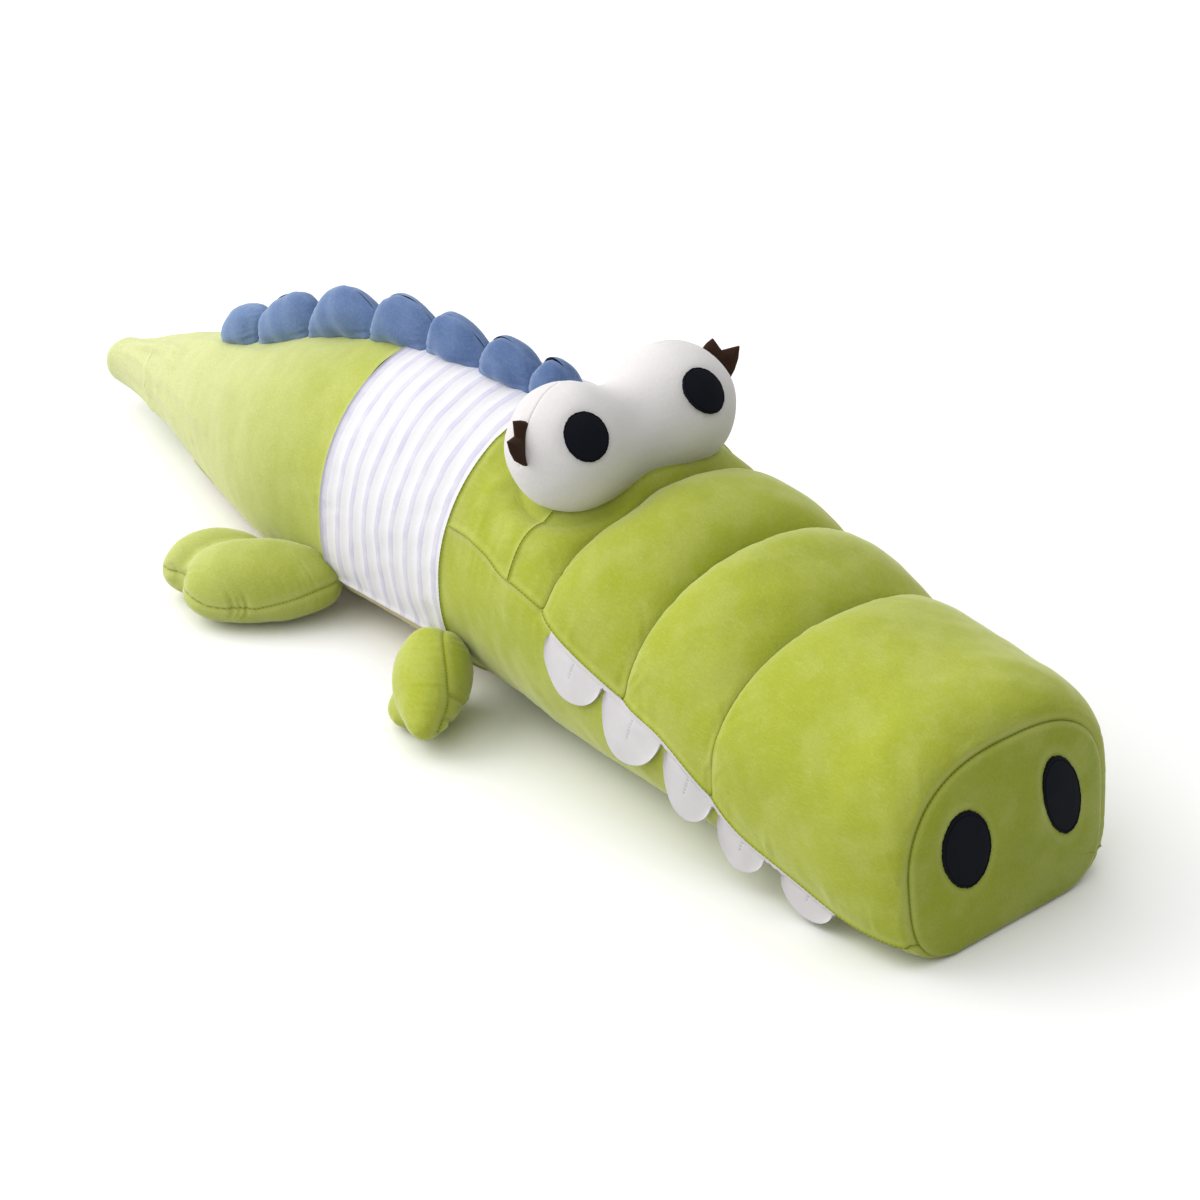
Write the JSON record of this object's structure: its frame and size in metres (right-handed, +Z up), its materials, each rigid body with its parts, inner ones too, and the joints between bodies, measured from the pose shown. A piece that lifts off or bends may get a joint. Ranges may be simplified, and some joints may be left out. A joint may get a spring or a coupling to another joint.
{
  "type": "stuffed animal",
  "caption": "Long plush crocodile pillow lying flat: velvet covers over filling, striped shirt, snout in soft rolls, felt teeth, eye pod with lashes, back humps, four soft legs.",
  "frame": {"origin": "middle of the footprint, on the surface it lies on", "axes": "+Z up, -Y towards the nose, +Y towards the tail, +X to the crocodile's left"},
  "size_m": [0.4172, 1.1, 0.289],
  "materials": {
    "velvet_green": "short-pile velvet, soft sheen",
    "shirt_stripe": "knitted velvet, white with fine sunken lilac stripes",
    "velvet_cream": "short-pile velvet, soft sheen",
    "velvet_blue": "short-pile velvet, soft sheen",
    "velvet_white": "short-pile velvet, soft sheen",
    "felt_black": "matt felt with a stitched rim",
    "felt_brown": "matt felt, cut edge",
    "felt_white": "matt felt, cut edge, stitched darts",
    "filling": "loose fibre, soft and matt"
  },
  "bodies": {
    "body": {"nose_cover": "velvet_green", "nostril_left": "felt_black", "nostril_right": "felt_black", "snout_roll_front": "velvet_green", "snout_roll_middle": "velvet_green", "snout_roll_rear": "velvet_green", "face_cover": "velvet_green", "crown_cover": "velvet_green", "shirt": "shirt_stripe", "rump_cover": "velvet_green", "jaw_cover": "velvet_green", "belly_cover": "velvet_cream", "body_filling": "filling", "eye_cover_front": "velvet_white", "eye_cover_rear": "velvet_white", "eye_filling": "filling", "pupil_left": "felt_black", "pupil_right": "felt_black", "hump_cover_left": "velvet_blue", "hump_cover_right": "velvet_blue", "hump_filling": "filling", "gum_strip_left": "felt_white", "gum_strip_right": "felt_white"},
    "tail": {"tail_cover": "velvet_green", "tail_filling": "filling"},
    "leg_front_left": {"leg_front_left_top": "velvet_green", "leg_front_left_sole": "velvet_green", "leg_front_left_filling": "filling"},
    "leg_hind_left": {"leg_hind_left_top": "velvet_green", "leg_hind_left_sole": "velvet_green", "leg_hind_left_filling": "filling"},
    "leg_front_right": {"leg_front_right_top": "velvet_green", "leg_front_right_sole": "velvet_green", "leg_front_right_filling": "filling"},
    "leg_hind_right": {"leg_hind_right_top": "velvet_green", "leg_hind_right_sole": "velvet_green", "leg_hind_right_filling": "filling"},
    "tooth_left_1": {"tooth_left_1": "felt_white"},
    "tooth_left_2": {"tooth_left_2": "felt_white"},
    "tooth_left_3": {"tooth_left_3": "felt_white"},
    "tooth_left_4": {"tooth_left_4": "felt_white"},
    "tooth_left_5": {"tooth_left_5": "felt_white"},
    "lash_left": {"lash_left": "felt_brown"},
    "tooth_right_1": {"tooth_right_1": "felt_white"},
    "tooth_right_2": {"tooth_right_2": "felt_white"},
    "tooth_right_3": {"tooth_right_3": "felt_white"},
    "tooth_right_4": {"tooth_right_4": "felt_white"},
    "tooth_right_5": {"tooth_right_5": "felt_white"},
    "lash_right": {"lash_right": "felt_brown"}
  },
  "joints": [
    {"name": "tail_bend", "type": "hinge", "parent": "body", "child": "tail", "pos_m": [0, 0.3817, 0.05], "axis": [0, 0, 1], "range_deg": [-18, 18], "stiffness_Nm_per_rad": 1},
    {"name": "leg_front_left_swing", "type": "hinge", "parent": "body", "child": "leg_front_left", "pos_m": [0.12835, -0.03, 0.03], "axis": [0, 0, 1], "range_deg": [-8, 40], "stiffness_Nm_per_rad": 0.3},
    {"name": "leg_hind_left_swing", "type": "hinge", "parent": "body", "child": "leg_hind_left", "pos_m": [0.12658, 0.16, 0.03], "axis": [0, 0, 1], "range_deg": [-35, 20], "stiffness_Nm_per_rad": 0.3},
    {"name": "leg_front_right_swing", "type": "hinge", "parent": "body", "child": "leg_front_right", "pos_m": [-0.12835, -0.03, 0.03], "axis": [0, 0, 1], "range_deg": [-40, 8], "stiffness_Nm_per_rad": 0.3},
    {"name": "leg_hind_right_swing", "type": "hinge", "parent": "body", "child": "leg_hind_right", "pos_m": [-0.12658, 0.16, 0.03], "axis": [0, 0, 1], "range_deg": [-20, 35], "stiffness_Nm_per_rad": 0.3},
    {"name": "tooth_left_1_lift", "type": "hinge", "parent": "body", "child": "tooth_left_1", "pos_m": [0.11601, -0.45009, 0.02602], "axis": [-0.0799, -0.9654, -0.2481], "range_deg": [0, 40], "stiffness_Nm_per_rad": 0.01},
    {"name": "tooth_left_2_lift", "type": "hinge", "parent": "body", "child": "tooth_left_2", "pos_m": [0.12206, -0.38629, 0.04623], "axis": [-0.0976, -0.9094, -0.4043], "range_deg": [0, 40], "stiffness_Nm_per_rad": 0.01},
    {"name": "tooth_left_3_lift", "type": "hinge", "parent": "body", "child": "tooth_left_3", "pos_m": [0.12819, -0.33487, 0.07599], "axis": [-0.0992, -0.8481, -0.5205], "range_deg": [0, 40], "stiffness_Nm_per_rad": 0.01},
    {"name": "tooth_left_4_lift", "type": "hinge", "parent": "body", "child": "tooth_left_4", "pos_m": [0.12983, -0.27437, 0.10129], "axis": [0.0081, -0.966, -0.2585], "range_deg": [0, 40], "stiffness_Nm_per_rad": 0.01},
    {"name": "tooth_left_5_lift", "type": "hinge", "parent": "body", "child": "tooth_left_5", "pos_m": [0.1312, -0.20809, 0.11897], "axis": [0.0166, -0.9628, -0.2699], "range_deg": [0, 40], "stiffness_Nm_per_rad": 0.01},
    {"name": "lash_left_bend", "type": "hinge", "parent": "body", "child": "lash_left", "pos_m": [0.10125, -0.11198, 0.26037], "axis": [-0.4104, 0, 0.9119], "range_deg": [-30, 30], "stiffness_Nm_per_rad": 0.005},
    {"name": "tooth_right_1_lift", "type": "hinge", "parent": "body", "child": "tooth_right_1", "pos_m": [-0.11601, -0.45009, 0.02602], "axis": [-0.0799, 0.9654, 0.2481], "range_deg": [0, 40], "stiffness_Nm_per_rad": 0.01},
    {"name": "tooth_right_2_lift", "type": "hinge", "parent": "body", "child": "tooth_right_2", "pos_m": [-0.12206, -0.38629, 0.04623], "axis": [-0.0976, 0.9094, 0.4043], "range_deg": [0, 40], "stiffness_Nm_per_rad": 0.01},
    {"name": "tooth_right_3_lift", "type": "hinge", "parent": "body", "child": "tooth_right_3", "pos_m": [-0.12819, -0.33487, 0.07599], "axis": [-0.0992, 0.8481, 0.5205], "range_deg": [0, 40], "stiffness_Nm_per_rad": 0.01},
    {"name": "tooth_right_4_lift", "type": "hinge", "parent": "body", "child": "tooth_right_4", "pos_m": [-0.12983, -0.27437, 0.10129], "axis": [0.0081, 0.966, 0.2585], "range_deg": [0, 40], "stiffness_Nm_per_rad": 0.01},
    {"name": "tooth_right_5_lift", "type": "hinge", "parent": "body", "child": "tooth_right_5", "pos_m": [-0.1312, -0.20809, 0.11897], "axis": [0.0166, 0.9628, 0.2699], "range_deg": [0, 40], "stiffness_Nm_per_rad": 0.01},
    {"name": "lash_right_bend", "type": "hinge", "parent": "body", "child": "lash_right", "pos_m": [-0.10125, -0.11198, 0.26037], "axis": [0.4104, 0, 0.9119], "range_deg": [-30, 30], "stiffness_Nm_per_rad": 0.005}
  ]
}
